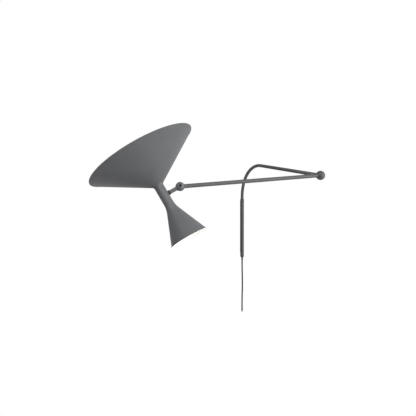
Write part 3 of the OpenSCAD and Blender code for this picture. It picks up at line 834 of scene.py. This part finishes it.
def lamp_holder(name, node, at, radius, length, socket_r, socket_depth, thread_from):
    """A holder on z = 0: a spigot below, a socket above, and an outer thread that takes the shade's ring."""
    thread_depth, pitch, lip = 0.5, 2.5, 2.5
    thread_r = radius - thread_depth
    spigot_end = -DISC_HEIGHT - SPIGOT_PAST_DISC
    socket_floor = length - socket_depth
    core = rounded([
        (WIRE_BORE_R, spigot_end), (SPIGOT_R, spigot_end, 0.4), (SPIGOT_R, 0), (radius, 0, 0.8),
        (radius, thread_from - 1, 0.3), (thread_r, thread_from, 0.3),
        (thread_r, length - lip - thread_depth, 0.3), (radius, length - lip, 0.3), (radius, length, 0.8),
        (socket_r, length, 0.8), (socket_r, socket_floor), (WIRE_BORE_R, socket_floor)])
    height = length - thread_from - 4
    body = turned(name + "_core", [(core, MOULDED)], 96)
    piece = grown(body, ROLLED_THREAD, name, MOULDED, radius=thread_r * MM, start=(thread_from + 0.5) * MM,
                  height=height * MM, turns=height / pitch, ridge=thread_depth * MM)
    settle(piece, at, "lamp_head", "white_plastic", node)


lamp_holder("wide_shade_holder", "upper_holder", UPPER_AT, UPPER_HOLDER_R, UPPER_HOLDER_LENGTH,
            UPPER_SOCKET_R, UPPER_SOCKET_DEPTH, thread_from=20)
lamp_holder("narrow_shade_holder", "lower_holder", LOWER_AT, LOWER_HOLDER_R, LOWER_HOLDER_LENGTH,
            LOWER_SOCKET_R, LOWER_SOCKET_DEPTH, thread_from=16)


def wide_shade_ring():
    """The ring that clamps the big shade's floor: its underside follows the floor and the cone, and it has
    grip ribs round its top."""
    foot_r, outer_r = 18.4, 22.5
    low, high = NECK_UP + SHADE_WALL + HOLDER_GAP, 52
    flange, rib_height, rib_r = 2, 4, 0.7
    outline = rounded([
        (UPPER_HOLDER_R, low), (foot_r, low), (outer_r, high - flange, 0.4), (outer_r, high, 0.8),
        (UPPER_HOLDER_R, high, 0.6)])
    body = turned("wide_shade_ring_body", [(outline, MOULDED)], 96)
    piece = grown(body, GRIP_RIBS, "wide_shade_ring", MOULDED, count=36, radius=outer_r * MM,
                  start=(high - 1 - rib_height) * MM, height=rib_height * MM, rib=rib_r * MM)
    settle(piece, SHADES, "lamp_head", "white_plastic", "big_shade_ring")


def narrow_shade_ring():
    """The small shade's flat ring, up inside the throat, with short grip ribs round its lower edge."""
    outer_r, ring_height = 16.0, 5
    rib_height, rib_r = 1.0, 0.5
    top = SMALL_FLOOR_Z - SHADE_WALL
    bottom = top - ring_height
    outline = rounded([
        (LOWER_HOLDER_R, top), (outer_r, top, 0.4), (outer_r, bottom, 0.6), (LOWER_HOLDER_R, bottom, 0.4)])
    body = turned("narrow_shade_ring_body", [(outline, MOULDED)], 96)
    piece = grown(body, GRIP_RIBS, "narrow_shade_ring", MOULDED, count=24, radius=(outer_r - 0.3) * MM,
                  start=(bottom - 0.4) * MM, height=rib_height * MM, rib=rib_r * MM)
    settle(piece, SHADES, "lamp_head", "white_plastic", "small_shade_ring")


wide_shade_ring()
narrow_shade_ring()


def bulb_glass(name, node, at, neck_r, globe_r, length):
    """A bulb's glass: a short neck swept into a cone that runs tangent into a round globe."""
    centre = Vector((0, length - globe_r))
    waist = Vector((neck_r, 5))
    away = waist - centre
    touch = math.degrees(math.atan2(away.y, away.x) + math.acos(globe_r / away.length))
    globe = arc(tuple(centre), globe_r, touch, 90, 28)
    neck = rounded([(0, 0), (neck_r, 0), (neck_r, waist.y, globe_r * 0.5), globe[0]])
    piece = turned(name, [(neck + globe[1:-1] + [(0, length)], OPAL)], 96)
    settle(piece, at, "lamp_head", "opal_glass", node)


bulb_glass("wide_shade_bulb", "upper_bulb_glass", UPPER_AT @ raised(UPPER_HOLDER_LENGTH),
           UPPER_CAP_R, UPPER_GLOBE_R, UPPER_GLASS_LENGTH)
bulb_glass("narrow_shade_bulb", "lower_bulb_glass", LOWER_AT @ raised(LOWER_HOLDER_LENGTH),
           LOWER_CAP_R, LOWER_GLOBE_R, LOWER_GLASS_LENGTH)


def bulb_cap(name, node, at, radius, length, pitch):
    """A bulb's screw cap: a threaded shell, with black glass and a contact at its foot."""
    ridge = pitch * 0.22
    core_r = radius - ridge
    insulator_r = core_r * 0.75
    contact_r = radius * 0.3
    contact_foot, insulator_foot, shell_foot, thread_foot = 0.6, 1.1, 3.2, 5.5
    height = length - 9
    shell = rounded([
        (0, shell_foot), (insulator_r, shell_foot, 0.5), (core_r, 5, 1), (core_r, length - 2, 0.5),
        (radius, length - 1.2, 0.3), (radius, length, 0.2), (0, length)])
    body = turned(name + "_core", [(shell, CAP)], 96)
    piece = grown(body, ROLLED_THREAD, name, CAP, radius=core_r * MM, start=thread_foot * MM,
                  height=height * MM, turns=height / pitch, ridge=ridge * MM)
    settle(piece, at, "lamp_head", "bulb_cap", node)
    contact = rounded([
        (0, 0), (contact_r * 0.6, 0), (contact_r, contact_foot, 0.3), (contact_r, shell_foot),
        (0, shell_foot)])
    foot = turned(name + "_foot", [(contact, ZINC)], 48)
    settle(foot, at, "lamp_head", "zinc_steel")
    glass = [(contact_r, insulator_foot), (contact_r + 0.4, insulator_foot), (insulator_r, shell_foot),
             (contact_r, shell_foot)]
    collar = turned(name + "_insulator", [(glass, VITRITE)], 48)
    settle(collar, at, "lamp_head", "bulb_cap")


UPPER_CAP_LENGTH = UPPER_SOCKET_DEPTH - CAP_GAP
LOWER_CAP_LENGTH = LOWER_SOCKET_DEPTH - CAP_GAP
bulb_cap("wide_shade_bulb_cap", "upper_bulb_cap", UPPER_AT @ raised(UPPER_HOLDER_LENGTH - UPPER_CAP_LENGTH),
         UPPER_CAP_R, UPPER_CAP_LENGTH, UPPER_CAP_PITCH)
bulb_cap("narrow_shade_bulb_cap", "lower_bulb_cap", LOWER_AT @ raised(LOWER_HOLDER_LENGTH - LOWER_CAP_LENGTH),
         LOWER_CAP_R, LOWER_CAP_LENGTH, LOWER_CAP_PITCH)

# ---------------------------------------------------------------- finishes of the parts that stay as they are

FINISHES = {
    # The tubes, the wall parts and the second arm take the darker copy of the grey: painted shade.
    SHADED_TUBE_PAINT: ("wall_bar", "tube_posts", "wall_tube", "arm_collar", "elbow_lower_half", "elbow_upper_half",
                 "second_arm"),
    HEAD_PAINT: ("head_rear_half", "head_front_half", "stub_tube", "neck_tube"),
    ZINC: ("bar_pins", "elbow_washer", "elbow_nut", "head_washer", "head_nut", "stub_nipple", "stub_nut",
           "upper_disc", "lower_disc"),
    OXIDE: ("post_screws", "retaining_screw", "collar_screw", "elbow_screw", "roll_screw", "head_screw"),
    NYLON: ("upper_bush", "lower_bush", "elbow_friction_ring", "head_friction_ring", "stub_collar"),
    PVC: ("first_arm_wires", "second_arm_wires", "head_wires"),
}

for finish, names in FINISHES.items():
    for name in names:
        node = frame["nodes"][name]
        for material_slot in node.material_slots:
            material_slot.material = finish

# ---------------------------------------------------------------- studio


def make_floor():
    """A plain pale floor, well below the lamp. Its sides are in metres."""
    level, left, right, front, back = -2.9, -5.5, 5.5, -6.0, 1.2
    corners = [(left, front, level), (right, front, level), (right, back, level), (left, back, level)]
    mesh = bpy.data.meshes.new("floor")
    mesh.from_pydata(corners, [], [(0, 1, 2, 3)])
    mesh.materials.append(floor_paint("pale_floor_paint"))
    link("floor", mesh)


HEAD = Vector((-0.35, -0.95, 0.35))


def panel(name, at, size, watts):
    """A soft square light that faces the lamp's head. Its place and side are in metres."""
    data = bpy.data.lights.new(name, "AREA")
    data.shape = "SQUARE"
    data.size = size
    data.energy = watts
    lamp = link(name, data)
    aim = (HEAD - Vector(at)).to_track_quat("-Z", "Y")
    lamp.matrix_world = Matrix.Translation(at) @ aim.to_matrix().to_4x4()


def mouth_glow(depth, watts):
    """A small soft light just inside the small shade's mouth, which keeps its enamel white. depth is in
    millimetres."""
    data = bpy.data.lights.new("mouth_glow", "POINT")
    data.energy = watts
    data.shadow_soft_size = 0.012
    lamp = link("mouth_glow", data)
    lamp.visible_camera = False
    lamp.matrix_world = SHADES @ raised(depth - NECK_DOWN - SMALL_SHADE_LENGTH)


def make_sky(lobes):
    """A sky that is plain white to look at, and lights the lamp in soft lobes, each a direction and a
    strength."""
    world = bpy.data.worlds.new("studio")
    world.use_nodes = True
    tree = world.node_tree
    tree.nodes.clear()
    seen = add(tree, "ShaderNodeLightPath").outputs["Is Camera Ray"]
    way = add(tree, "ShaderNodeTexCoord").outputs["Generated"]
    light = 0.0
    for towards, strength in lobes:
        facing = add(tree, "ShaderNodeVectorMath", {0: way, 1: towards}, operation="DOT_PRODUCT")
        lit = add(tree, "ShaderNodeMath", {
            0: facing.outputs["Value"], 1: 0.0}, operation="MAXIMUM").outputs["Value"]
        light = add(tree, "ShaderNodeMath", {
            0: lit, 1: strength, 2: light}, operation="MULTIPLY_ADD").outputs["Value"]
    soft = add(tree, "ShaderNodeBackground", {"Color": colour("#ffffff"), "Strength": light})
    white = add(tree, "ShaderNodeBackground", {"Color": colour("#ffffff"), "Strength": 1.0})
    mix = add(tree, "ShaderNodeMixShader", {"Fac": seen})
    tree.links.new(soft.outputs["Background"], mix.inputs[1])
    tree.links.new(white.outputs["Background"], mix.inputs[2])
    add(tree, "ShaderNodeOutputWorld", {"Surface": mix.outputs["Shader"]})
    bpy.context.scene.world = world


make_floor()
make_sky([((0, 1, 0), 0.95), ((0, 0, -1), 0.12), ((0, 0, 1), 0.05)])
panel("key", (5.55, -2.25, 0.65), 2.0, 320)
panel("high_right", (2.15, -4.25, 4.05), 2.4, 89)
panel("high_left", (-2.05, -4.65, 3.65), 2.4, 173)
mouth_glow(8, 0.09)
bpy.context.scene.view_settings.view_transform = "Standard"
